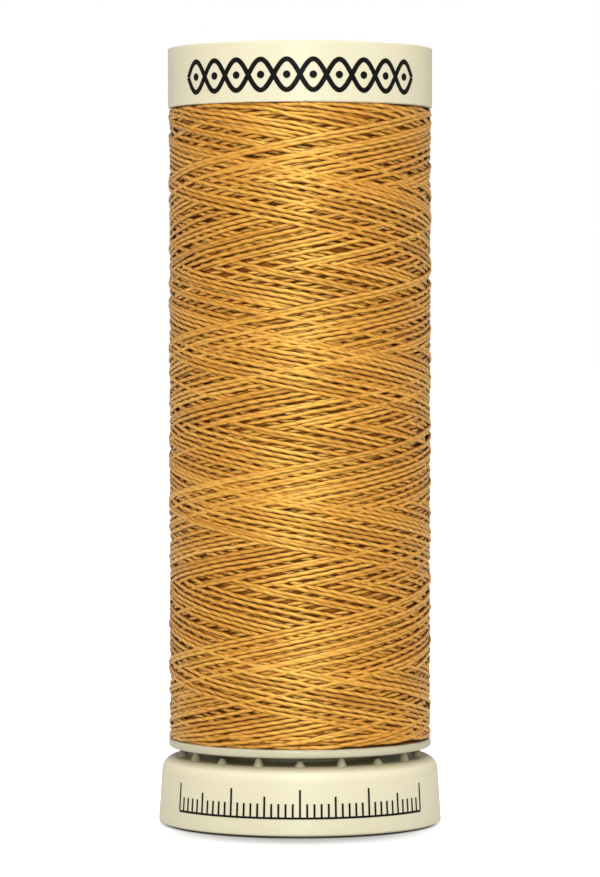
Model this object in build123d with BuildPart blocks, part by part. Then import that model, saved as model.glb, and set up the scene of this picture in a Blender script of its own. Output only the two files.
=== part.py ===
from build123d import *
import os

# Spool of sewing thread with a snap-open foot, standing on its foot.
# Millimetres, +Z up, origin on the floor at the centre of the foot, -Y is the side that is looked at.
# The foot's spring sleeve slides in the core's bore. It opens the gap that holds the thread's free end.

os.makedirs("parts", exist_ok=True)

# ---- driving sizes ----------------------------------------------------------------------------
TOTAL_HEIGHT = 56.15       # floor to the top of the cap
FOOT_DIAMETER = 20.5       # foot, measured round its lower edge before that is softened
CAP_DIAMETER = 19.1        # cap band
FLANGE_DIAMETER = 19.02    # core's lower flange
WINDING_DIAMETER = 18.84   # full load of thread
BARREL_DIAMETER = 13.6     # core under the thread
PIN_HOLE_DIAMETER = 6.6    # hole for the machine's spool pin

FOOT_HEIGHT = 4.9          # floor to the foot's deck
FOOT_DRAFT = 3.6           # degrees, the foot is wider at the bottom
SHOULDER_RADIUS = 1.05     # rounding between the foot's side and its deck
FOOT_EDGE_RADIUS = 0.12    # rounding of the foot's lower edge
STAND_HEIGHT = 0.15        # low ring under the foot's edge that it stands on
STAND_INSET = 0.35
GAP_HEIGHT = 0.66          # deck to flange when the foot is shut
SNAP_TRAVEL = 1.6          # how far the foot pulls open
FLANGE_THICKNESS = 0.60
FLANGE_TOP_RADIUS = 0.24   # the flange's upper edge falls away under the thread
FLANGE_EDGE_RADIUS = 0.2   # its lower edge
CAP_HEIGHT = 4.42
CROWN_WIDTH = 1.65         # ring round the cap's label recess
CROWN_FALL = 0.14          # how much that ring falls towards its outer edge

BARREL_WALL = 1.1
SLEEVE_WALL = 1.0
HUB_WALL = 0.8
SKIRT_WALL = 1.5
DECK_THICKNESS = 1.2
WEB_THICKNESS = 1.0        # cap's end wall, on the thread's side
RIB_THICKNESS = 0.9
RIB_COUNT = 6

SLEEVE_HEIGHT = 7.6        # spring sleeve above the deck
SLEEVE_SLOTS = 4
SLEEVE_SLOT_WIDTH = 1.8
BEAD_HEIGHT = 0.9          # snap bead round the sleeve
BEAD_DEPTH = 0.35          # how far the bead stands out
PLUG_LENGTH = 5.0          # cap's plug in the top of the bore
PLUG_CHAMFER = 0.4

LABEL_THICKNESS = 0.15     # paper rings glued over the ribbed ends
LABEL_RECESS = 0.3         # how deep their outer faces' seats lie in the ends

NUB_COUNT = 9              # tall ones, with as many short ones between them
NUB_BASE_RADIUS = 0.38
NUB_TIP_RADIUS = 0.16
TALL_NUB_HEIGHT = 0.58
SHORT_NUB_HEIGHT = 0.38
NUB_INSET = 0.93           # nub circle inside the flange's edge

# ---- clearances -------------------------------------------------------------------------------
SLIDE_CLEARANCE = 0.1      # foot's sleeve in the bore, radial
STOP_CLEARANCE = 0.1       # snap bead to the ends of its groove
PLUG_CLEARANCE = 0.02      # glue film round the cap's plug
LABEL_HOLE_CLEARANCE = 0.2
LABEL_EDGE_CLEARANCE = 0.15
SINK = 0.2                 # how far joined features reach into each other

# ---- sizes that follow ------------------------------------------------------------------------
foot_r = FOOT_DIAMETER / 2
cap_r = CAP_DIAMETER / 2
flange_r = FLANGE_DIAMETER / 2
winding_r = WINDING_DIAMETER / 2
barrel_r = BARREL_DIAMETER / 2
bore_r = barrel_r - BARREL_WALL
pin_r = PIN_HOLE_DIAMETER / 2
hub_r = pin_r + HUB_WALL

flange_bottom = FOOT_HEIGHT + GAP_HEIGHT
flange_top = flange_bottom + FLANGE_THICKNESS
cap_bottom = TOTAL_HEIGHT - CAP_HEIGHT

sleeve_r = bore_r - SLIDE_CLEARANCE
sleeve_in_r = sleeve_r - SLEEVE_WALL
sleeve_top = FOOT_HEIGHT + SLEEVE_HEIGHT
bead_r = sleeve_r + BEAD_DEPTH
bead_top = sleeve_top - BEAD_DEPTH
bead_bottom = bead_top - BEAD_HEIGHT
groove_r = bead_r + SLIDE_CLEARANCE
groove_bottom = bead_bottom - SNAP_TRAVEL - STOP_CLEARANCE
groove_top = sleeve_top + STOP_CLEARANCE

plug_r = bore_r - PLUG_CLEARANCE
plug_in_r = plug_r - SLEEVE_WALL
crown_in_r = cap_r - CROWN_WIDTH
top_seat = TOTAL_HEIGHT - LABEL_RECESS
base_seat = LABEL_RECESS + LABEL_THICKNESS
nub_circle_r = flange_r - NUB_INSET
nub_pitch = 360 / NUB_COUNT
front = -90                # polar angle of the -Y side


def save(builder, name):
    """Name one sub-part and write it out as its own file."""
    builder.part.label = name
    export_step(builder.part, f"parts/{name}.step")


def nub(height):
    """One cone-shaped nub with a rounded tip and its foot sunk below Z = 0."""
    with BuildPart() as cone:
        Cone(NUB_BASE_RADIUS, NUB_TIP_RADIUS, height, align=(Align.CENTER, Align.CENTER, Align.MIN))
        fillet(cone.edges().group_by(Axis.Z)[-1], radius=NUB_TIP_RADIUS * 0.85)
        with BuildSketch():
            Circle(NUB_BASE_RADIUS)
        extrude(amount=-SINK)
    return cone.part


tall_nub = nub(TALL_NUB_HEIGHT)
short_nub = nub(SHORT_NUB_HEIGHT)

# ---- snap_base: ribbed foot ring with the nubs and the spring sleeve --------------------------
with BuildPart() as snap_base:
    # drafted foot with a rounded shoulder and a softened lower edge
    with BuildSketch(Plane.XY.offset(STAND_HEIGHT)):
        Circle(foot_r)
    extrude(amount=FOOT_HEIGHT - STAND_HEIGHT, taper=FOOT_DRAFT)
    fillet(snap_base.edges().group_by(Axis.Z)[-1], radius=SHOULDER_RADIUS)
    fillet(snap_base.edges().group_by(Axis.Z)[0], radius=FOOT_EDGE_RADIUS)
    with BuildSketch():
        Circle(foot_r - STAND_INSET)
    extrude(amount=STAND_HEIGHT + SINK)

    # hollow underside: a shallow label recess, then the ring between skirt and hub
    skirt_in_r = foot_r - SKIRT_WALL
    with BuildSketch():
        Circle(skirt_in_r)
    extrude(amount=base_seat, mode=Mode.SUBTRACT)
    with BuildSketch(Plane.XY.offset(base_seat)):
        Circle(skirt_in_r - LABEL_RECESS)
        Circle(hub_r, mode=Mode.SUBTRACT)
    extrude(amount=FOOT_HEIGHT - DECK_THICKNESS - base_seat, mode=Mode.SUBTRACT)

    # ribs under the deck, from the hub to the skirt
    with BuildSketch(Plane.XY.offset(base_seat)):
        with PolarLocations((hub_r + skirt_in_r) / 2, RIB_COUNT, start_angle=front):
            Rectangle(skirt_in_r - hub_r + 2 * SINK, RIB_THICKNESS)
    extrude(amount=FOOT_HEIGHT - DECK_THICKNESS - base_seat + SINK)

    # spring sleeve with its snap bead
    with BuildSketch(Plane.XZ):
        with BuildLine():
            Polyline(
                (sleeve_in_r, FOOT_HEIGHT - SINK),
                (sleeve_r, FOOT_HEIGHT - SINK),
                (sleeve_r, bead_bottom),
                (bead_r, bead_bottom),
                (bead_r, bead_top),
                (sleeve_r, sleeve_top),
                (sleeve_in_r, sleeve_top),
                close=True,
            )
        make_face()
    revolve(axis=Axis.Z)

    # slots that part the sleeve into spring fingers
    with BuildSketch(Plane.XY.offset(flange_bottom)):
        with PolarLocations(sleeve_r, SLEEVE_SLOTS, start_angle=front + 180 / SLEEVE_SLOTS):
            Rectangle(4 * SLEEVE_WALL, SLEEVE_SLOT_WIDTH)
    extrude(amount=SLEEVE_HEIGHT, mode=Mode.SUBTRACT)

    # hole for the spool pin
    with Locations((0, 0, FOOT_HEIGHT)):
        Hole(pin_r)

    # nubs that hold the thread's end, tall and short by turns
    with Locations((0, 0, FOOT_HEIGHT)):
        with PolarLocations(nub_circle_r, NUB_COUNT, start_angle=front + nub_pitch / 2):
            add(tall_nub)
        with PolarLocations(nub_circle_r, NUB_COUNT, start_angle=front):
            add(short_nub)
save(snap_base, "snap_base")

# ---- base_label: paper ring in the foot's underside -------------------------------------------
with BuildPart() as base_label:
    with BuildSketch(Plane.XY.offset(LABEL_RECESS)):
        Circle(skirt_in_r - LABEL_EDGE_CLEARANCE)
        Circle(pin_r + LABEL_HOLE_CLEARANCE, mode=Mode.SUBTRACT)
    extrude(amount=LABEL_THICKNESS)
save(base_label, "base_label")

# ---- spool_core: barrel, lower flange and the groove for the snap bead ------------------------
with BuildPart() as spool_core:
    with BuildSketch(Plane.XY.offset(flange_bottom)):
        Circle(flange_r)
    extrude(amount=FLANGE_THICKNESS)
    fillet(spool_core.edges().group_by(Axis.Z)[-1], radius=FLANGE_TOP_RADIUS)
    fillet(spool_core.edges().group_by(Axis.Z)[0], radius=FLANGE_EDGE_RADIUS)
    with BuildSketch(Plane.XY.offset(flange_bottom)):
        Circle(barrel_r)
    extrude(amount=cap_bottom - flange_bottom)
    with BuildSketch(Plane.XY.offset(flange_bottom)):
        Circle(bore_r)
    extrude(amount=cap_bottom - flange_bottom, mode=Mode.SUBTRACT)
    with BuildSketch(Plane.XY.offset(groove_bottom)):
        Circle(groove_r)
    extrude(amount=groove_top - groove_bottom, mode=Mode.SUBTRACT)
save(spool_core, "spool_core")

# ---- top_cap: band, end wall, hub, ribs and the plug in the barrel ----------------------------
with BuildPart() as top_cap:
    with BuildSketch(Plane.XZ):
        with BuildLine():
            Polyline(
                (pin_r, cap_bottom),
                (cap_r, cap_bottom),
                (cap_r, TOTAL_HEIGHT - CROWN_FALL),
                (crown_in_r, TOTAL_HEIGHT),
                (crown_in_r, cap_bottom + WEB_THICKNESS),
                (hub_r, cap_bottom + WEB_THICKNESS),
                (hub_r, top_seat),
                (pin_r, top_seat),
                close=True,
            )
        make_face()
    revolve(axis=Axis.Z)
    band_edges = top_cap.edges().filter_by(GeomType.CIRCLE)
    band_edges = band_edges.filter_by(lambda e: abs(e.radius - cap_r) < 1e-6)
    fillet(band_edges, radius=CROWN_FALL * 0.7)

    # ribs under the label
    with BuildSketch(Plane.XY.offset(cap_bottom + WEB_THICKNESS - SINK)):
        with PolarLocations((hub_r + crown_in_r) / 2, RIB_COUNT, start_angle=front):
            Rectangle(crown_in_r - hub_r + 2 * SINK, RIB_THICKNESS)
    extrude(amount=top_seat - cap_bottom - WEB_THICKNESS + SINK)

    # plug pressed and glued in the top of the bore
    with BuildSketch(Plane.XZ):
        with BuildLine():
            Polyline(
                (plug_in_r, cap_bottom + SINK),
                (plug_r, cap_bottom + SINK),
                (plug_r, cap_bottom - PLUG_LENGTH + PLUG_CHAMFER),
                (plug_r - PLUG_CHAMFER, cap_bottom - PLUG_LENGTH),
                (plug_in_r, cap_bottom - PLUG_LENGTH),
                close=True,
            )
        make_face()
    revolve(axis=Axis.Z)
save(top_cap, "top_cap")

# ---- top_label: paper ring in the cap's recess ------------------------------------------------
with BuildPart() as top_label:
    with BuildSketch(Plane.XY.offset(top_seat)):
        Circle(crown_in_r - LABEL_EDGE_CLEARANCE)
        Circle(pin_r + LABEL_HOLE_CLEARANCE, mode=Mode.SUBTRACT)
    extrude(amount=LABEL_THICKNESS)
save(top_label, "top_label")

# ---- thread_winding: the whole length of thread, cross-wound on the barrel --------------------
with BuildPart() as thread_winding:
    with BuildSketch(Plane.XY.offset(flange_top)):
        Circle(winding_r)
        Circle(barrel_r, mode=Mode.SUBTRACT)
    extrude(amount=cap_bottom - flange_top)
save(thread_winding, "thread_winding")
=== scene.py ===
import math

import bpy
import numpy as np
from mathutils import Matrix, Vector


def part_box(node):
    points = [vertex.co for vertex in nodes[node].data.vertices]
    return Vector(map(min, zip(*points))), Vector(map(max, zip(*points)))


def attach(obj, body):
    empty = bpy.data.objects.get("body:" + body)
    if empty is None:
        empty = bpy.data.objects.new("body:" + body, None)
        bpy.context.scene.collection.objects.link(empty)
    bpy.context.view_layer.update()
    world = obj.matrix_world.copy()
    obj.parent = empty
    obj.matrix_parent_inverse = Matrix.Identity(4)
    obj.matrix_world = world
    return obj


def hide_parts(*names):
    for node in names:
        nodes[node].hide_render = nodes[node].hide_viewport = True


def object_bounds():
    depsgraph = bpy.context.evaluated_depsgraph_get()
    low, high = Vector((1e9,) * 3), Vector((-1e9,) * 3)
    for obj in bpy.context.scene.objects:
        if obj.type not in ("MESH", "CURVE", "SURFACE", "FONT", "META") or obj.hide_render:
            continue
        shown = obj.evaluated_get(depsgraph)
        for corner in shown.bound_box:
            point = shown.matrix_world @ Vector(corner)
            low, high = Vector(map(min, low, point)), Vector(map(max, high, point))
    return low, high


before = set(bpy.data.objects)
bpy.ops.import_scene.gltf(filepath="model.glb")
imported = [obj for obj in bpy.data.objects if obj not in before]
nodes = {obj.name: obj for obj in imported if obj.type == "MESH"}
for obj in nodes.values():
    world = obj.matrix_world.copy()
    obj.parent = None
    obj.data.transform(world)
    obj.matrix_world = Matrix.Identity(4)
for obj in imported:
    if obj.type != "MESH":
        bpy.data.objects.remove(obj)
cad_low, cad_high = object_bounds()
MM = 0.001
WHITE = (1.0, 1.0, 1.0)


# ---------------------------------------------------------------- small node helpers
def new_material(name):
    """An empty node material with a Principled shader, and the tools to fill it."""
    mat = bpy.data.materials.new(name)
    mat.use_nodes = True
    tree = mat.node_tree
    tree.nodes.clear()
    out = tree.nodes.new("ShaderNodeOutputMaterial")
    shader = tree.nodes.new("ShaderNodeBsdfPrincipled")
    tree.links.new(shader.outputs["BSDF"], out.inputs["Surface"])
    return mat, tree, shader


def add(tree, kind, **values):
    """One node, with its properties and unlinked inputs set by name."""
    node = tree.nodes.new(kind)
    for key, value in values.items():
        if hasattr(node, key):
            setattr(node, key, value)
        else:
            node.inputs[key.replace("_", " ")].default_value = value
    return node


def settle(shader, **values):
    """Sets what is the same all over a surface on the shader's own sockets."""
    for key, value in values.items():
        shader.inputs[key.replace("_", " ")].default_value = value


def object_coords(tree):
    return add(tree, "ShaderNodeTexCoord").outputs["Object"]


def mapped(tree, vector, **values):
    """A vector that is moved, turned and stretched."""
    node = add(tree, "ShaderNodeMapping", **values)
    tree.links.new(vector, node.inputs["Vector"])
    return node.outputs[0]


def split_xyz(tree, vector):
    """A vector's coordinates, as the sockets X, Y and Z."""
    node = add(tree, "ShaderNodeSeparateXYZ")
    tree.links.new(vector, node.inputs[0])
    return node.outputs


def noise(tree, vector, **values):
    """A noise texture's factor."""
    node = add(tree, "ShaderNodeTexNoise", **values)
    tree.links.new(vector, node.inputs["Vector"])
    return node.outputs["Fac"]


def math_node(tree, operation, *operands, clamp=False):
    """A Math node fed with sockets or numbers."""
    node = tree.nodes.new("ShaderNodeMath")
    node.operation = operation
    node.use_clamp = clamp
    for socket, value in zip(node.inputs, operands):
        if isinstance(value, (int, float)):
            socket.default_value = value
        else:
            tree.links.new(value, socket)
    return node.outputs[0]


def ramp(tree, fac, stops, interpolation="LINEAR"):
    """A colour ramp over (position, colour) stops."""
    node = tree.nodes.new("ShaderNodeValToRGB")
    node.color_ramp.interpolation = interpolation
    elements = node.color_ramp.elements
    while len(elements) < len(stops):
        elements.new(0.5)
    for element, (at, colour) in zip(elements, stops):
        element.position = at
        element.color = (*colour, 1.0)
    tree.links.new(fac, node.inputs[0])
    return node.outputs[0]


def times(tree, colour, factor):
    """One colour multiplied by another."""
    node = tree.nodes.new("ShaderNodeMix")
    node.data_type = "RGBA"
    node.blend_type = "MULTIPLY"
    for socket, value in ((node.inputs[0], 1.0), (node.inputs[6], colour), (node.inputs[7], factor)):
        if isinstance(value, float):
            socket.default_value = value
        elif isinstance(value, tuple):
            socket.default_value = (*value, 1.0)
        else:
            tree.links.new(value, socket)
    return node.outputs[2]


def roughness(tree, shader, fac, least, spread):
    """Roughness that varies with a texture, from least upwards."""
    tree.links.new(math_node(tree, "MULTIPLY_ADD", fac, spread, least), shader.inputs["Roughness"])


def bump(tree, height, strength, depth, normal=None):
    """A bump of the given depth in metres, on top of another one if there is one."""
    node = add(tree, "ShaderNodeBump", Strength=strength, Distance=depth)
    tree.links.new(height, node.inputs["Height"])
    if normal is not None:
        tree.links.new(normal, node.inputs["Normal"])
    return node.outputs["Normal"]


def new_mesh(name, verts, faces, body, material, uvs=()):
    """A smooth mesh piece in millimetres that rides on a body. faces is an (n, 4) array or a list of rings,
    and uvs holds a name and a row for each face corner."""
    mesh = bpy.data.meshes.new(name)
    verts = np.asarray(verts, np.float32) * MM
    if isinstance(faces, np.ndarray):
        n, k = faces.shape
        mesh.vertices.add(len(verts))
        mesh.vertices.foreach_set("co", verts.ravel())
        mesh.loops.add(n * k)
        mesh.loops.foreach_set("vertex_index", faces.astype(np.int32).ravel())
        mesh.polygons.add(n)
        mesh.polygons.foreach_set("loop_start", np.arange(0, n * k, k, dtype=np.int32))
    else:
        mesh.from_pydata([tuple(map(float, v)) for v in verts], [], faces)
    mesh.update(calc_edges=True)
    for layer_name, values in uvs:
        layer = mesh.uv_layers.new(name=layer_name)
        layer.data.foreach_set("uv", np.asarray(values, np.float32).ravel())
    mesh.polygons.foreach_set("use_smooth", np.full(len(mesh.polygons), True))
    mesh.validate()
    mesh.materials.append(material)
    piece = bpy.data.objects.new(name, mesh)
    bpy.context.scene.collection.objects.link(piece)
    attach(piece, body)
    return piece


# ---------------------------------------------------------------- camera
LENS = 171.3                     # mm
SENSOR = 36.0                    # mm, the longer side of the frame
CAMERA_DISTANCE = 302.5 * MM     # in front of the spool's axis
CAMERA_HEIGHT = 36.35 * MM       # above the floor
CAMERA_DOWN = 1.61               # degrees
CLIP_NEAR = 0.01                 # m
CLIP_FAR = 50.0

camera_data = bpy.data.cameras.new("camera")
camera_data.lens = LENS
camera_data.sensor_width = SENSOR
camera_data.sensor_height = SENSOR
camera_data.sensor_fit = "AUTO"
camera_data.clip_start = CLIP_NEAR
camera_data.clip_end = CLIP_FAR
camera = bpy.data.objects.new("camera", camera_data)
camera.location = (0.0, -CAMERA_DISTANCE, CAMERA_HEIGHT)
camera.rotation_euler = (math.radians(90.0 - CAMERA_DOWN), 0.0, 0.0)
bpy.context.scene.collection.objects.link(camera)
bpy.context.scene.camera = camera


# ---------------------------------------------------------------- plastic, paper and ink
IVORY_DARK = (0.765, 0.685, 0.465)
IVORY_PALE = (0.790, 0.712, 0.495)
CORE_SHADE = 0.74                 # painted shade: the flange looks darker than cap and foot, in the shade of the thread
CONTACT_SHADE_SPAN = 0.0004              # m, height that the stops of the painted contact shade span; the ring that the foot stands on is 0.15 mm
CONTACT_SHADE_STOPS = [(0.33, (0.07, 0.065, 0.055)), (0.40, WHITE)]
FLANGE_SHADE_SPAN = 0.0060            # m, height that the stops of the painted shade under the flange span; the gap over the foot begins at 4.9 mm
FLANGE_SHADE_STOPS = [(0.745, WHITE), (0.80, (0.62, 0.60, 0.55)), (0.95, (0.58, 0.56, 0.50))]

LABEL_HOLE_RADIUS = 3.5 * MM
PAPER_WHITE = (0.83, 0.82, 0.78)
PAPER_GOLD = (0.60, 0.34, 0.06)
PAPER_INK = (0.05, 0.045, 0.04)
LABEL_RINGS = [                  # from the hole to the rim
    (0.00, PAPER_WHITE), (0.30, PAPER_GOLD), (0.62, PAPER_WHITE), (0.76, PAPER_INK), (0.785, PAPER_WHITE),
    (0.90, PAPER_INK), (0.915, PAPER_WHITE),
]
FIBRE_STOPS = [(0.3, (0.93, 0.93, 0.93)), (0.7, WHITE)]
INK_STOPS = [(0.35, (0.004, 0.0035, 0.003)), (0.75, (0.010, 0.009, 0.007))]


def plastic_material(name, tint=1.0, stands=False):
    """Ivory moulded plastic: satin gloss, faint flow clouds, fine moulding texture and small scuffs; on the
    foot, painted shade on the ring it stands on and in the crevice under the flange.
    """
    mat, tree, shader = new_material(name)
    coords = object_coords(tree)
    cloud = noise(tree, coords, Scale=160.0, Detail=3.0, Roughness=0.5)
    fine = noise(tree, coords, Scale=2600.0, Detail=4.0, Roughness=0.6)
    scuff = noise(tree, coords, Scale=900.0, Detail=8.0, Roughness=0.72, Distortion=1.2)
    # a tint below 1 gives a darker copy of the ivory, used as painted shade on the core
    dark, pale = (tuple(channel * tint for channel in ivory) for ivory in (IVORY_DARK, IVORY_PALE))
    base = ramp(tree, cloud, [(0.30, dark), (0.70, pale)])
    if stands:
        up = split_xyz(tree, coords)["Z"]
        # painted shade: the low ring that the foot stands on is dark, for the contact shadow under the foot
        base = times(tree, base, ramp(tree, math_node(tree, "DIVIDE", up, CONTACT_SHADE_SPAN), CONTACT_SHADE_STOPS))
        # painted shade: the crevice under the flange, with the nubs in it, is darker, for the flange's shadow
        base = times(tree, base, ramp(tree, math_node(tree, "DIVIDE", up, FLANGE_SHADE_SPAN), FLANGE_SHADE_STOPS))
    tree.links.new(base, shader.inputs["Base Color"])
    roughness(tree, shader, scuff, least=0.27, spread=0.16)
    normal = bump(tree, fine, strength=0.18, depth=0.00002)
    normal = bump(tree, cloud, strength=0.25, depth=0.00008, normal=normal)
    tree.links.new(normal, shader.inputs["Normal"])
    settle(shader, IOR=1.5, Subsurface_Weight=0.12, Subsurface_Radius=(1.0, 0.8, 0.45),
           Subsurface_Scale=0.0006)
    return mat


def paper_material(name, low_r, high_r):
    """Coated label paper with a printed ring in the thread's colour and two hair lines."""
    mat, tree, shader = new_material(name)
    coords = object_coords(tree)
    split = split_xyz(tree, coords)
    xx = math_node(tree, "MULTIPLY", split["X"], split["X"])
    yy = math_node(tree, "MULTIPLY", split["Y"], split["Y"])
    radius = math_node(tree, "SQRT", math_node(tree, "ADD", xx, yy))
    out = math_node(tree, "SUBTRACT", radius, low_r)
    across = math_node(tree, "DIVIDE", out, high_r - low_r, clamp=True)
    rings = ramp(tree, across, LABEL_RINGS, "CONSTANT")
    fibre = noise(tree, coords, Scale=3500.0, Detail=5.0, Roughness=0.7)
    tree.links.new(times(tree, rings, ramp(tree, fibre, FIBRE_STOPS)), shader.inputs["Base Color"])
    tree.links.new(bump(tree, fibre, strength=0.3, depth=0.00002), shader.inputs["Normal"])
    settle(shader, Roughness=0.5)
    return mat


def ink_material():
    """Pad-printed ink: near black, a little uneven, duller than the plastic."""
    mat, tree, shader = new_material("print_ink")
    cloud = noise(tree, object_coords(tree), Scale=1800.0, Detail=5.0, Roughness=0.7)
    tree.links.new(ramp(tree, cloud, INK_STOPS), shader.inputs["Base Color"])
    tree.links.new(bump(tree, cloud, strength=0.3, depth=0.00001), shader.inputs["Normal"])
    settle(shader, Roughness=0.45, Specular_IOR_Level=0.08)
    return mat


# ---------------------------------------------------------------- thread material
PLY_LEAD = 2.1                           # mm of strand for one turn of its plies
FIBRE_LEAN = math.radians(28.0)          # the fibres run round the strand as they run along it
THREAD_DARK = (0.590, 0.212, 0.026)      # the dye, from the darkest fibres to the palest
THREAD_MID = (0.840, 0.346, 0.046)
THREAD_PALE = (0.950, 0.490, 0.100)
DYE_STOPS = [(0.28, THREAD_DARK), (0.50, THREAD_MID), (0.74, THREAD_PALE)]
DEEP_SHADE = (0.62, 0.45, 0.30)          # the layers below, darkened by those above
FLANK_SHADE_STOPS = [                          # painted shade: from a strand's flank, down in the groove, to its crown
    (0.50, (0.16, 0.05, 0.003)), (0.72, (0.30, 0.135, 0.02)), (0.88, (0.74, 0.62, 0.42)), (0.97, WHITE),
]
PLY_SHADE_STOPS = [                            # painted shade: from the groove between two plies to the back of a ply
    (0.0, (0.74, 0.68, 0.58)), (0.30, (0.96, 0.95, 0.93)), (0.8, WHITE),
]
TONE_WEIGHT = 0.35                       # how much a stroke's own tone shifts the dye
THREAD_LUSTRE = 0.15                     # share of the gloss that has the thread's own colour
GLOSS_TINT = (0.80, 1.0, 0.32, 1.0)
SHEEN_TINT = (1.0, 0.75, 0.35, 1.0)


def thread_material(name, below=False):
    """Spun polyester thread: plies and fibres along each strand, uneven dye, golden gloss along the fibres,
    painted shade in the groove between the plies, and painted shade on the flanks, darker than the crown of
    the strand, down in the grooves between neighbours.
    The strand map has mm along the strand, and turns round it with the crown at a quarter."""
    mat, tree, shader = new_material(name)
    uv = add(tree, "ShaderNodeUVMap", uv_map="strand").outputs["UV"]
    tone = add(tree, "ShaderNodeAttribute", attribute_name="tone").outputs["Fac"]
    slub = noise(tree, mapped(tree, uv, Scale=(1.3, 3.0, 1.0)), Scale=1.0, Detail=3.0, Roughness=0.6)
    lay = mapped(tree, uv, Rotation=(0.0, 0.0, FIBRE_LEAN), Scale=(1.2, 14.0, 1.0))
    fibre = noise(tree, lay, Scale=1.6, Detail=5.0, Roughness=0.65)
    dye = math_node(tree, "ADD", math_node(tree, "MULTIPLY", slub, 0.5),
                    math_node(tree, "MULTIPLY", fibre, 0.5))
    shift = math_node(tree, "MULTIPLY", math_node(tree, "SUBTRACT", tone, 0.5), TONE_WEIGHT)
    colour = ramp(tree, math_node(tree, "ADD", dye, shift), DYE_STOPS)
    if below:
        colour = times(tree, colour, DEEP_SHADE)
    else:
        split = split_xyz(tree, uv)
        # painted shade: the flanks, down in the grooves between strands, are darker than the crown
        crown = math_node(tree, "SINE", math_node(tree, "MULTIPLY", split["Y"], math.tau))
        crown = math_node(tree, "MULTIPLY_ADD", crown, 0.5, 0.5)
        colour = times(tree, colour, ramp(tree, crown, FLANK_SHADE_STOPS))
        # two plies twisted together, with painted shade in the groove between them
        turned = math_node(tree, "SUBTRACT", math_node(tree, "MULTIPLY", split["Y"], 2 * math.tau),
                           math_node(tree, "MULTIPLY", split["X"], 2 * math.tau / PLY_LEAD))
        ply = math_node(tree, "MULTIPLY_ADD", math_node(tree, "COSINE", turned), 0.5, 0.5)
        colour = times(tree, colour, ramp(tree, ply, PLY_SHADE_STOPS))
    tree.links.new(colour, shader.inputs["Base Color"])
    tree.links.new(bump(tree, fibre, strength=0.6, depth=0.00003), shader.inputs["Normal"])
    roughness(tree, shader, fibre, least=0.30, spread=0.25)
    tangent = add(tree, "ShaderNodeTangent", direction_type="UV_MAP", uv_map="strand")
    tree.links.new(tangent.outputs[0], shader.inputs["Tangent"])
    settle(shader, Anisotropic=0.5, Anisotropic_Rotation=0.25, IOR=1.7, Specular_Tint=GLOSS_TINT,
           Sheen_Roughness=0.4, Sheen_Tint=SHEEN_TINT)
    if below:
        settle(shader, Metallic=0.0, Specular_IOR_Level=0.25, Sheen_Weight=0.0)
    else:
        settle(shader, Metallic=THREAD_LUSTRE, Specular_IOR_Level=0.9, Sheen_Weight=0.04)
    return mat


ink = ink_material()
thread = thread_material("gold_thread")
deep_thread = thread_material("gold_thread_below", below=True)


def dress(node, material):
    """Gives a CAD node a finished material in place of its plain one."""
    for slot in nodes[node].material_slots:
        slot.material = material


dress("snap_base", plastic_material("ivory_foot", stands=True))
# the core's ivory is darkened as painted shade
dress("spool_core", plastic_material("ivory_core_shaded", CORE_SHADE))
dress("top_cap", plastic_material("ivory_cap"))
for label in ("top_label", "base_label"):
    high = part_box(label)[1]
    dress(label, paper_material(label + "_paper", LABEL_HOLE_RADIUS, high.x))


# ---------------------------------------------------------------- thread, wound strand by strand
PITCHES = 28            # strands laid side by side in one lead of the winding
TURNS = 4               # turns of the spool in one stroke from end to end
LAYERS = 3              # times the pattern is laid over itself
SHOWN = 45              # newest double strokes built as strands
PER_PIECE = 5           # double strokes in one mesh
HALF_WIDTH = 0.175      # mm, strand pressed a little flat
HALF_THICK = 0.125
SQUASH = 0.72           # how much of a strand's height is left where two cross
FIRST_TURN = math.radians(90.0)   # where the newest strand turns back at the top, from the front to the right

LAY_SEED = 11
COLUMNS = 720           # cells of the height map round the spool
CELL_Z = 0.07           # mm, height of a cell
END_MARGIN = 0.14       # mm kept free at each end of the winding
END_SCATTER = 0.30      # mm that the turn-backs vary in height
TURN_SCATTER = 0.09     # share of a pitch that they vary round the spool
WANDER = 0.035          # mm that a strand wanders up and down, with a swing about every WANDER_LENGTH
WANDER_LENGTH = 11.0
WANDER_FREE = 4.0       # mm from its ends before it wanders freely
SLIP = 0.11             # mm a strand may slip sideways as it settles
SLIP_COST = 1.6         # what holds it to its own path
SLIP_LOOK = 1.2         # mm along the strand over which its support is judged
SLIP_EASE = 0.9         # mm over which a slip grows
SAG = 0.12              # per mm, how fast a strand falls away from a strand that it crosses
SAG_REACH = 1.3         # mm
SWELL_WIDTH = 1.4       # mm, swells wider than this are pressed out of the laid surface
RELIEF = 0.09           # mm of relief that is left

TONE_SEED = 5
TONE_SPREAD = 0.16      # how much the strokes differ in tone, from 0.5
TONE_DRIFT = 0.12       # how much it drifts along a stroke, with a swing about every TONE_RINGS rings
TONE_RINGS = 60
DEEP_TONE = 0.42        # tone of the layers below
STEP = 0.2              # mm between the rings of a built strand
SIDES = 8
LOBES = 0.09            # how far the two plies stand out from a round section
PROUD = 0.10            # mm that a strand may stand out of the winding
RUN_ON = 3.0            # mm over which a stroke takes up the end of the one before it
BARREL_RADIUS = 6.8     # mm, as in the CAD
LID = [(0, 1, 2, 3), (0, 3, 4, 7), (4, 5, 6, 7)]      # three faces that close a ring of eight points

wind_low, wind_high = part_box("thread_winding")
wind_r = wind_high.x / MM
wind_z0 = wind_low.z / MM
wind_z1 = wind_high.z / MM


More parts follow.
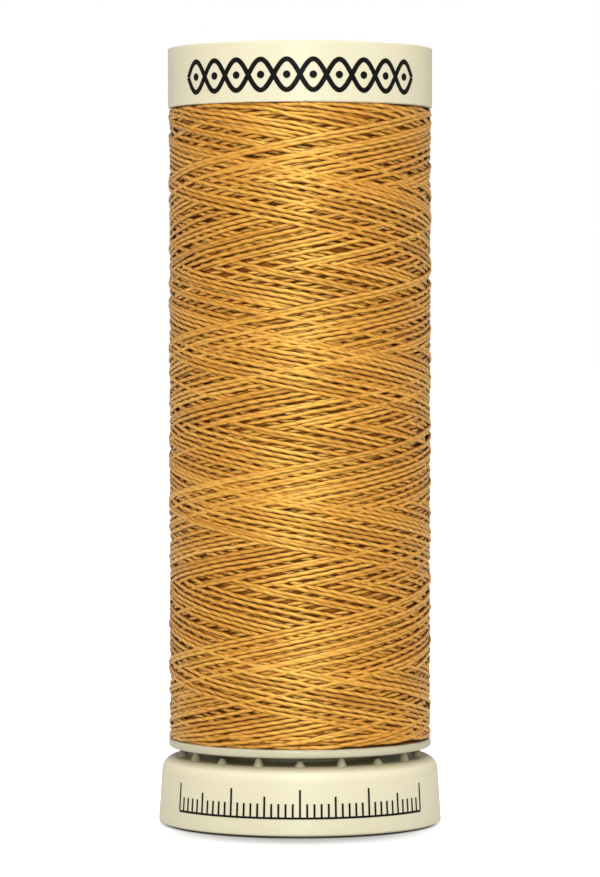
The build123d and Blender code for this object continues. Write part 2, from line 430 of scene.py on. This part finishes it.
def traverse_table():
    """Height along one stroke against turns: slower at the turn-backs, a little quicker just inside them."""
    t = np.linspace(0.0, TURNS, 4001)
    end = np.minimum(t, TURNS - t)      # turns to the nearer turn-back
    quicker = 1.0 + 0.13 * np.exp(-(((end - 0.75) / 0.28) ** 2))
    slower = 0.02 + 0.98 * np.clip(end / 0.10, 0.0, 1.0) ** 0.8
    speed = quicker * slower
    height = np.concatenate([[0.0], np.cumsum((speed[1:] + speed[:-1]) / 2)])
    return t, height / height[-1]


def smooth_noise(rng, count, spacing, amplitude):
    """A smooth random line with about one swing per spacing samples."""
    knots = rng.normal(0.0, 1.0, max(4, int(count / spacing) + 4))
    at = np.linspace(0, len(knots) - 1.001, count)
    i = at.astype(int)
    f = at - i
    f = f * f * (3 - 2 * f)
    return amplitude * (knots[i] * (1 - f) + knots[i + 1] * f)


def level(surface, cell_t):
    """Takes the slow swells out of the laid surface, as winding tension does, and presses what is left."""
    n_t, n_z = surface.shape
    mirrored = np.concatenate([surface, surface[:, ::-1]], 1)
    wave_t = np.fft.fftfreq(n_t, cell_t)[:, None]
    wave_z = np.fft.rfftfreq(mirrored.shape[1], CELL_Z)[None, :]
    low_pass = np.exp(-2 * (math.pi * SWELL_WIDTH) ** 2 * (wave_t ** 2 + wave_z ** 2))
    slow = np.fft.irfft2(np.fft.rfft2(mirrored) * low_pass, s=mirrored.shape)[:, :n_z]
    rest = surface - slow
    return (surface.mean() + RELIEF * np.tanh(rest / RELIEF)).astype(np.float32)


def running_mean(line, half):
    """Mean over a window of 2 * half + 1 samples along the last axis."""
    width = 2 * half + 1
    pad = [(0, 0)] * (line.ndim - 1) + [(half + 1, half)]
    total = np.cumsum(np.pad(line, pad, mode="edge"), axis=-1)
    return (total[..., width:] - total[..., :-width]) / width


def lay_thread():
    """Lays the strands one after another over a map of the thread's height. Each slips a little sideways
    into the nearest groove, is pulled tight over the strands that it crosses, and adds its own thickness to
    the map. Gives the shown strokes as lines of angle, height and radius, the map under them, and the
    finished map. Radii count from the map's zero, and lift brings them to the winding's surface."""
    rng = np.random.default_rng(LAY_SEED)
    turn_table, height_table = traverse_table()
    cell_t = math.tau * wind_r / COLUMNS
    n_z = int((wind_z1 - wind_z0) / CELL_Z) + 1
    surface = np.zeros((COLUMNS, n_z), np.float32)
    total = PITCHES * LAYERS
    # where each double stroke turns back: its column at the top, and its heights at the top and at the bottom
    ages = total - 1 - np.arange(total + 1)
    turn_backs = FIRST_TURN / math.tau + (ages + rng.normal(0.0, TURN_SCATTER, total + 1)) / PITCHES
    top_columns = np.round(turn_backs * COLUMNS).astype(int)
    top_ends = wind_z1 - END_MARGIN - np.abs(rng.normal(0.0, END_SCATTER, total + 1))
    low_ends = wind_z0 + END_MARGIN + np.abs(rng.normal(0.0, END_SCATTER, total + 1))
    strokes = []
    below = None
    lateral = np.linspace(-1.0, 1.0, 5) * HALF_WIDTH * 0.85      # where across it a strand feels for support
    dome = np.sqrt(1.0 - (lateral / HALF_WIDTH) ** 2) * HALF_THICK
    slips = np.linspace(-SLIP, SLIP, 9)
    reach = int(SAG_REACH / cell_t)
    sag = (np.arange(0, reach + 1) * cell_t) ** 2 * SAG

    def support_under(col, z):
        """What a strand rests on along its line, with the roundness of its underside."""
        support = np.full(len(z), -1.0)
        for w, d in zip(lateral, dome):
            row = np.clip(np.round((z + w - wind_z0) / CELL_Z).astype(int), 0, n_z - 1)
            support = np.maximum(support, surface[col, row] + d * SQUASH)
        return support

    for k in range(total):
        age = total - 1 - k
        if k % (PITCHES // 2) == 0:
            surface = level(surface, cell_t)
        if age == SHOWN - 1:
            below = surface.copy()
        for rising in (True, False):
            # the way down stops where the next stroke's way up begins
            count = TURNS * COLUMNS + 1 + (0 if rising else top_columns[k + 1] - top_columns[k])
            climb = np.interp(np.linspace(0.0, TURNS, count), turn_table, height_table)
            if rising:
                column = top_columns[k] + np.arange(count) - TURNS * COLUMNS
                z = low_ends[k] + (top_ends[k] - low_ends[k]) * climb
            else:
                column = top_columns[k] + np.arange(count)
                z = top_ends[k] + (low_ends[k + 1] - top_ends[k]) * climb
            theta = column * math.tau / COLUMNS
            col = column % COLUMNS
            from_end = np.minimum(np.arange(count), np.arange(count)[::-1])
            free = np.minimum(1.0, from_end / (WANDER_FREE / cell_t))
            z = z + smooth_noise(rng, count, WANDER_LENGTH / cell_t, WANDER) * free

            # of all the sideways slips, the one that lies lowest
            supports = np.stack([support_under(col, z + slip) for slip in slips])
            cost = running_mean(supports, int(SLIP_LOOK / cell_t)) + SLIP_COST * slips[:, None] ** 2
            slip = running_mean(slips[np.argmin(cost, 0)], int(SLIP_EASE / cell_t))
            z = np.clip(z + slip, wind_z0 + END_MARGIN, wind_z1 - END_MARGIN)

            # pulled tight, it leaves what it crosses on a shallow curve
            support = support_under(col, z)
            centre = support.copy()
            for step in range(1, reach + 1):
                centre[step:] = np.maximum(centre[step:], support[:-step] - sag[step])
                centre[:-step] = np.maximum(centre[:-step], support[step:] - sag[step])
            centre = running_mean(centre, 3)

            # its thickness is added to the map
            exact = (z - wind_z0) / CELL_Z
            middle = np.round(exact).astype(int)
            for m in range(-3, 4):
                row = middle + m
                w = (row - exact) * CELL_Z / HALF_WIDTH
                thick = 2 * HALF_THICK * SQUASH * np.sqrt(np.clip(1.0 - w * w, 0.0, 1.0))
                ok = (row >= 0) & (row < n_z)
                surface[col[ok][:-1], row[ok][:-1]] += thick[ok][:-1].astype(np.float32)
            if age < SHOWN:
                strokes.append((theta, z, centre))
    return strokes, below, surface


strokes, below, surface = lay_thread()
END_ROWS = 20           # rows of the map at each end where the turn-backs pile up
lift = wind_r - float(np.percentile(surface[:, END_ROWS:-END_ROWS], 85))


def strand_rings(theta, z, radius, along):
    """Rings of points round a strand's centreline, two plies twisted together."""
    out = np.stack([np.sin(theta), -np.cos(theta), np.zeros(len(theta))], 1)
    centre = np.stack([radius * out[:, 0], radius * out[:, 1], z], 1)
    tangent = np.gradient(centre, axis=0)
    tangent /= np.linalg.norm(tangent, axis=1)[:, None]
    side = np.cross(out, tangent)
    side /= np.linalg.norm(side, axis=1)[:, None]
    phi = np.arange(SIDES) / SIDES * math.tau
    twist = along / PLY_LEAD * math.tau
    lobes = 1.0 + LOBES * np.cos(2 * (phi[None, :] - twist[:, None]))
    wide = (HALF_WIDTH * 0.97) * np.cos(phi)[None, :] * lobes
    tall = HALF_THICK * np.sin(phi)[None, :] * lobes
    return centre[:, None, :] + side[:, None, :] * wide[..., None] + out[:, None, :] * tall[..., None]


def corner_map(start, end, low, high):
    """Map of a strand's faces: along it from start to end, and round it from low to high."""
    uv = np.empty((len(start), SIDES, 4, 2))
    uv[..., 0, 0] = uv[..., 3, 0] = start[:, None]
    uv[..., 1, 0] = uv[..., 2, 0] = end[:, None]
    uv[..., 0, 1] = uv[..., 1, 1] = low
    uv[..., 2, 1] = uv[..., 3, 1] = high
    return uv.reshape(-1, 2)


def build_strands():
    """One mesh for each few double strokes, the thread running on from each stroke to the next."""
    rng = np.random.default_rng(TONE_SEED)
    length = 0.0
    last = None
    j = np.arange(SIDES)[None, :]
    j_next = (j + 1) % SIDES
    round_from = np.arange(SIDES) / SIDES
    round_to = (np.arange(SIDES) + 1) / SIDES
    for first in range(0, SHOWN, PER_PIECE):
        group = strokes[2 * first:2 * (first + PER_PIECE)]
        verts, faces, bake_map, strand_map, tones = [], [], [], [], []
        base = 0
        rows = len(group) * TURNS
        for s, (theta, z, centre) in enumerate(group):
            n = int((theta[-1] - theta[0]) * wind_r / STEP)
            pick = np.linspace(0, len(theta) - 1, n)
            at = np.arange(len(theta))
            theta, z = np.interp(pick, at, theta), np.interp(pick, at, z)
            radius = np.minimum(np.interp(pick, at, centre) + lift, wind_r + PROUD - HALF_THICK)
            if last is not None:      # the thread runs on from where the stroke before it stopped
                ease = np.clip(np.arange(n) * STEP / RUN_ON, 0.0, 1.0)
                z = z + (last[0] - z[0]) * (1.0 - ease)
                radius = radius + (last[1] - radius[0]) * (1.0 - ease)
            last = z[-1], radius[-1]
            along = length + np.arange(n) * STEP
            verts.append(strand_rings(theta, z, radius, along).reshape(-1, 3))
            i = np.arange(n - 1)[:, None] * SIDES + base
            faces.append(np.stack([i + j, i + SIDES + j, i + SIDES + j_next, i + j_next], -1).reshape(-1, 4))

            # one row of the bake map for each turn, side by side without overlap
            turns = np.arange(n - 1) / (n - 1) * TURNS
            turn = np.minimum(turns.astype(int), TURNS - 1)
            start = turns - turn
            row_low = (s * TURNS + turn + 0.06) / rows
            row_tall = 0.88 / rows
            bake_map.append(corner_map(start * 0.998, (start + TURNS / (n - 1)) * 0.998,
                                       row_low[:, None] + row_tall * round_from,
                                       row_low[:, None] + row_tall * round_to))
            own = 7 * s + 31 * first      # whole turns that set this stroke's noise apart from the others'
            strand_map.append(corner_map(along[:-1], along[1:], round_from + own, round_to + own))
            tone = 0.5 + rng.normal(0.0, TONE_SPREAD) + smooth_noise(rng, n, TONE_RINGS, TONE_DRIFT)
            tones.append(np.repeat(tone, SIDES))
            for ring, order in ((0, 1), (n - 1, -1)):      # the stroke's two ends are closed
                lid = np.array(LID)[:, ::order]
                faces.append(lid + ring * SIDES + base)
                bake_map.append(np.full((lid.size, 2), (0.999, row_low[0])))
                strand_map.append(np.full((lid.size, 2), (along[ring], 0.25)))
            base += n * SIDES
            length += (n - 1) * STEP
        piece = new_mesh(
            f"thread_turns_{first // PER_PIECE + 1}", np.concatenate(verts), np.concatenate(faces),
            "spool", thread,
            uvs=(("strand", np.concatenate(strand_map)), ("OFBake", np.concatenate(bake_map))),
        )
        attribute = piece.data.attributes.new("tone", "FLOAT", "POINT")
        attribute.data.foreach_set("value", np.concatenate(tones).astype(np.float32))


def build_underlay():
    """The older layers as one closed ring with the strands' relief on its outside."""
    step_t, step_z = 3, 2         # cells of the map between two points of the ring
    map_height = 1.1              # mm of height for one turn of the strand map
    inset, end_inset = 0.05, 0.01      # mm that it stays inside the winding's side and its ends
    grid = np.minimum(below[::step_t, ::step_z] + lift, wind_r - inset)
    n_t, n_z = grid.shape
    theta = np.arange(n_t) / n_t * math.tau
    z = wind_z0 + np.arange(n_z) * step_z * CELL_Z
    z[0], z[-1] = wind_z0 + end_inset, wind_z1 - end_inset
    t2, z2 = np.meshgrid(theta, z, indexing="ij")
    outer = np.stack([grid * np.sin(t2), -grid * np.cos(t2), z2], -1).reshape(-1, 3)
    inner = np.stack([BARREL_RADIUS * np.sin(t2), -BARREL_RADIUS * np.cos(t2), z2], -1)
    inner = inner[:, [0, -1]].reshape(-1, 3)
    i = np.arange(n_t)[:, None]
    j = np.arange(n_z - 1)[None, :]
    n = (i + 1) % n_t
    sides = np.stack([i * n_z + j, n * n_z + j, n * n_z + j + 1, i * n_z + j + 1], -1).reshape(-1, 4)
    first = len(outer)
    a = np.arange(n_t)
    b = (a + 1) % n_t
    low = np.stack([first + 2 * a, first + 2 * b, b * n_z, a * n_z], -1)
    top = np.stack([a * n_z + n_z - 1, b * n_z + n_z - 1, first + 2 * b + 1, first + 2 * a + 1], -1)
    bore = np.stack([first + 2 * b, first + 2 * a, first + 2 * a + 1, first + 2 * b + 1], -1)
    faces = np.concatenate([sides, low, top, bore])
    loops = faces.ravel()
    all_theta = np.concatenate([t2.ravel(), np.repeat(theta, 2)])
    all_z = np.concatenate([z2.ravel(), np.tile([z[0], z[-1]], n_t)])
    uv = np.stack([all_theta[loops] * wind_r, all_z[loops] / map_height], -1)
    piece = new_mesh("thread_layers_below", np.concatenate([outer, inner]), faces, "spool", deep_thread,
                     uvs=(("strand", uv),))
    tone = np.full(len(piece.data.vertices), DEEP_TONE, np.float32)
    piece.data.attributes.new("tone", "FLOAT", "POINT").data.foreach_set("value", tone)
    return piece


build_strands()
underlay = build_underlay()
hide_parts("thread_winding")


# ---------------------------------------------------------------- printed marks, plain ornament and a scale
INK_LIFT = 0.012                 # mm, how far the print stands out of the plastic
PEN_STEP = 0.25                  # mm between the points of a line, to follow the curve
CREASE = math.radians(40.0)      # sharper edges than this stay crisp

CAP_PEN = 0.35                   # mm
CAP_MID = 2.5                    # mm from the cap's top to the middle of the frieze
EYE_WIDTH = 1.87                 # mm from eye to eye
EYES = 10
EYE_POINTS = 16                  # points of a wave for each eye
EYE_HALF_HEIGHT = 1.08           # mm
EYE_DOT = 0.27                   # mm, radius
DOT_POINTS = 20

FOOT_PEN = 0.15                  # mm
SCALE_LOW = 1.42                 # mm, height of the scale's base line
MARK_PITCH = 0.515               # mm from mark to mark
MARKS_A_SIDE = 20                # marks on each side of the middle one
MARK_TALL = {10: 2.0, 5: 1.5, 1: 1.0}      # mm, height of every tenth, every fifth and every other mark


def outer_profile(node, above):
    """Radius of a node's outside against height, read from its own mesh's points above that radius, in mm."""
    co = np.array([v.co for v in nodes[node].data.vertices]) / MM
    r = np.hypot(co[:, 0], co[:, 1])
    keep = r > above
    z, r = co[keep, 2], r[keep]
    heights = np.unique(np.round(z, 2))
    return heights, np.array([r[np.abs(z - h) < 0.02].max() for h in heights])


class Print:
    """Flat marks drawn in millimetres along and up a round surface, then wrapped onto it."""

    def __init__(self, profile):
        self.heights, self.radii = profile
        self.verts = []
        self.faces = []

    def wrap(self, s, z):
        """The point s to the right of the front, along the widest circle, and z above the floor."""
        r = float(np.interp(z, self.heights, self.radii))
        a = s / float(self.radii.max())
        r += INK_LIFT
        return (r * math.sin(a), -r * math.cos(a), z)

    def line(self, points, width):
        """A pen line with mitred corners, cut short enough to follow the curve."""
        fine = []
        for (s0, z0), (s1, z1) in zip(points, points[1:]):
            n = max(1, int(math.hypot(s1 - s0, z1 - z0) / PEN_STEP))
            fine += [(s0 + (s1 - s0) * i / n, z0 + (z1 - z0) * i / n) for i in range(n)]
        p = np.array(fine + [points[-1]])
        d0 = p - np.vstack([p[0] * 2 - p[1], p[:-1]])
        d1 = np.vstack([p[1:], p[-1] * 2 - p[-2]]) - p
        d0 /= np.linalg.norm(d0, axis=1)[:, None]
        d1 /= np.linalg.norm(d1, axis=1)[:, None]
        n0 = np.stack([-d0[:, 1], d0[:, 0]], 1)
        n1 = np.stack([-d1[:, 1], d1[:, 0]], 1)
        mitre = n0 + n1
        mitre /= np.linalg.norm(mitre, axis=1)[:, None]
        scale = 1.0 / np.clip((mitre * n1).sum(1), 0.35, 1.0)
        off = mitre * (width / 2 * scale)[:, None]
        base = len(self.verts)
        for left, right in zip((p + off).tolist(), (p - off).tolist()):
            self.verts += [self.wrap(*left), self.wrap(*right)]
        for a in range(base, base + 2 * (len(p) - 1), 2):
            self.faces.append((a, a + 1, a + 3, a + 2))

    def dot(self, s, z, radius):
        """A filled round dot."""
        n = DOT_POINTS
        base = len(self.verts)
        self.verts.append(self.wrap(s, z))
        for i in range(n):
            a = math.tau * i / n
            self.verts.append(self.wrap(s + radius * math.cos(a), z + radius * math.sin(a)))
        for i in range(n):
            self.faces.append((base, base + 1 + i, base + 1 + (i + 1) % n))

    def build(self, name, body):
        """The marks as a thin solid with a flat face and crisp edges, and its underside in the plastic."""
        piece = new_mesh(name, self.verts, self.faces, body, ink)
        layer = piece.modifiers.new("ink_thickness", "SOLIDIFY")
        layer.thickness = INK_LIFT * MM * 1.5
        layer.offset = -1.0
        solid = bpy.data.meshes.new_from_object(piece.evaluated_get(bpy.context.evaluated_depsgraph_get()))
        piece.modifiers.clear()
        piece.data = solid
        solid.set_sharp_from_angle(angle=CREASE)


def cap_marks():
    """A generic twisted-cord frieze round the front of the cap: two crossing waves with a dot in each eye."""
    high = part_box("top_cap")[1]
    marks = Print(outer_profile("top_cap", high.x / MM - 0.4))
    mid = high.z / MM - CAP_MID
    start = -EYE_WIDTH * EYES / 2
    n = EYES * EYE_POINTS
    for sign in (1, -1):
        along = [start * (1 - 2 * i / n) for i in range(n + 1)]
        up = [mid + sign * EYE_HALF_HEIGHT * math.sin((s - start) / EYE_WIDTH * math.pi) for s in along]
        marks.line(list(zip(along, up)), CAP_PEN)
    for k in range(EYES):
        marks.dot(start + (k + 0.5) * EYE_WIDTH, mid, EYE_DOT)
    marks.build("cap_print", "spool")


def foot_marks():
    """A plain measuring scale round the front of the foot."""
    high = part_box("snap_base")[1]
    marks = Print(outer_profile("snap_base", high.x / MM - 0.5))
    end = MARKS_A_SIDE * MARK_PITCH
    marks.line([(-end, SCALE_LOW), (end, SCALE_LOW)], FOOT_PEN)
    for i in range(2 * MARKS_A_SIDE + 1):
        s = (i - MARKS_A_SIDE) * MARK_PITCH
        tall = next(height for every, height in MARK_TALL.items() if i % every == 0)
        marks.line([(s, SCALE_LOW + FOOT_PEN / 2), (s, SCALE_LOW + tall)], FOOT_PEN)
    marks.build("foot_print", "foot")


cap_marks()
foot_marks()


# ---------------------------------------------------------------- floor, world and lights
FLOOR_HALF = 3.0                 # m
FLOOR_SHADOWED = (0.45, 0.45, 0.45)
FLOOR_FAR = (0.8, 0.8, 0.8)
SHADOW_AHEAD = 0.0045            # m, the soft contact shadow reaches a little towards the front
SHADOW_START = 0.0001            # m outside the foot, where the floor begins to brighten
SHADOW_END = 0.0082              # m outside the foot, where it is burnt out to white
FLOOR_GLOW = 0.9
ROOM_LIGHT = 0.50                # white room round the table; the backdrop itself is burnt out to white

# name, place and target in m, sides in m, power in W, colour
LIGHTS = (
    ("key", (0.0, -0.55, 0.55), (0.0, 0.0, 0.03), (0.35, 0.35), 2.70, WHITE),
    ("fill", (0.0, -0.75, 0.10), (0.0, 0.0, 0.03), (0.22, 0.50), 1.72, (0.80, 1.0, 1.08)),
    ("overhead", (0.0, -0.10, 0.70), (0.0, 0.0, 0.0), (0.5, 0.5), 1.5, WHITE),
)


def lay_floor():
    """A plain white floor with a painted contact shadow round the foot, darker in colour and glow, that reads
    as an overexposed studio sweep a little way out from the foot.
    """
    h = FLOOR_HALF
    mesh = bpy.data.meshes.new("floor")
    mesh.from_pydata([(-h, -h, 0), (h, -h, 0), (h, h, 0), (-h, h, 0)], [], [(0, 1, 2, 3)])
    mat, tree, shader = new_material("white_floor")
    settle(shader, Roughness=0.9, Specular_IOR_Level=0.1, Emission_Color=(*WHITE, 1.0))
    from_shadow = mapped(tree, object_coords(tree), Location=(0.0, SHADOW_AHEAD, 0.0))
    distance = add(tree, "ShaderNodeVectorMath", operation="LENGTH")
    tree.links.new(from_shadow, distance.inputs[0])
    edge = cad_high.x - SHADOW_AHEAD
    near = add(tree, "ShaderNodeMapRange", interpolation_type="SMOOTHSTEP",
               From_Min=edge + SHADOW_START, From_Max=edge + SHADOW_END)
    tree.links.new(distance.outputs["Value"], near.inputs["Value"])
    far = near.outputs["Result"]
    # painted contact shadow: the floor is darker and has no glow near the foot
    tree.links.new(ramp(tree, far, [(0.0, FLOOR_SHADOWED), (1.0, FLOOR_FAR)]), shader.inputs["Base Color"])
    seen = add(tree, "ShaderNodeLightPath").outputs["Is Camera Ray"]
    glow = math_node(tree, "MULTIPLY", math_node(tree, "MULTIPLY", far, FLOOR_GLOW), seen)
    tree.links.new(glow, shader.inputs["Emission Strength"])
    mesh.materials.append(mat)
    floor = bpy.data.objects.new("floor", mesh)
    bpy.context.scene.collection.objects.link(floor)


def light_room():
    """A white world that is dimmer as a light than it is to the eye."""
    world = bpy.data.worlds.new("studio")
    bpy.context.scene.world = world
    world.use_nodes = True
    tree = world.node_tree
    background = tree.nodes["Background"]
    background.inputs["Color"].default_value = (*WHITE, 1.0)
    seen = add(tree, "ShaderNodeLightPath").outputs["Is Camera Ray"]
    strength = math_node(tree, "MULTIPLY_ADD", seen, 1.0 - ROOM_LIGHT, ROOM_LIGHT)
    tree.links.new(strength, background.inputs["Strength"])


def area_light(name, at, target, sides, power, colour):
    """A soft rectangular lamp that points at its target."""
    light = bpy.data.lights.new(name, "AREA")
    light.shape = "RECTANGLE"
    light.size, light.size_y = sides
    light.energy = power
    light.color = colour
    lamp = bpy.data.objects.new(name, light)
    lamp.location = at
    lamp.rotation_euler = (Vector(target) - Vector(at)).to_track_quat("-Z", "Y").to_euler()
    bpy.context.scene.collection.objects.link(lamp)


lay_floor()
light_room()
for lamp_values in LIGHTS:
    area_light(*lamp_values)

bpy.context.scene.view_settings.view_transform = "Standard"
bpy.context.scene.view_settings.look = "None"
bpy.context.scene.view_settings.exposure = 0.0
